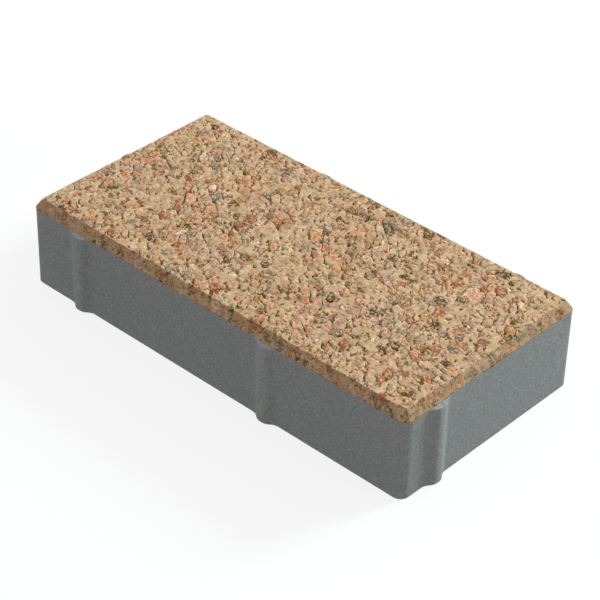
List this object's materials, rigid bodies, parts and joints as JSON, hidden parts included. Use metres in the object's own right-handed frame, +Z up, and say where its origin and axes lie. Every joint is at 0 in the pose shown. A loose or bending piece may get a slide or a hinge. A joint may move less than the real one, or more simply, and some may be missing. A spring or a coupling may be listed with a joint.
{
  "type": "concrete paving stone",
  "caption": "Rectangular concrete paving stone: a grey base block with upright spacer ribs, faced with a chamfered layer of beige exposed aggregate, to lay on a bed as paving.",
  "frame": {"origin": "middle of the bedding face, on the floor that the stone lies on", "axes": "+X along the long side, +Y across the stone, +Z up through the tread"},
  "size_m": [0.205, 0.105, 0.04],
  "materials": {
    "base_concrete": "matte",
    "aggregate_facing": "matte"
  },
  "bodies": {
    "root": {"base_block": "base_concrete", "facing_layer": "aggregate_facing"}
  },
  "joints": []
}
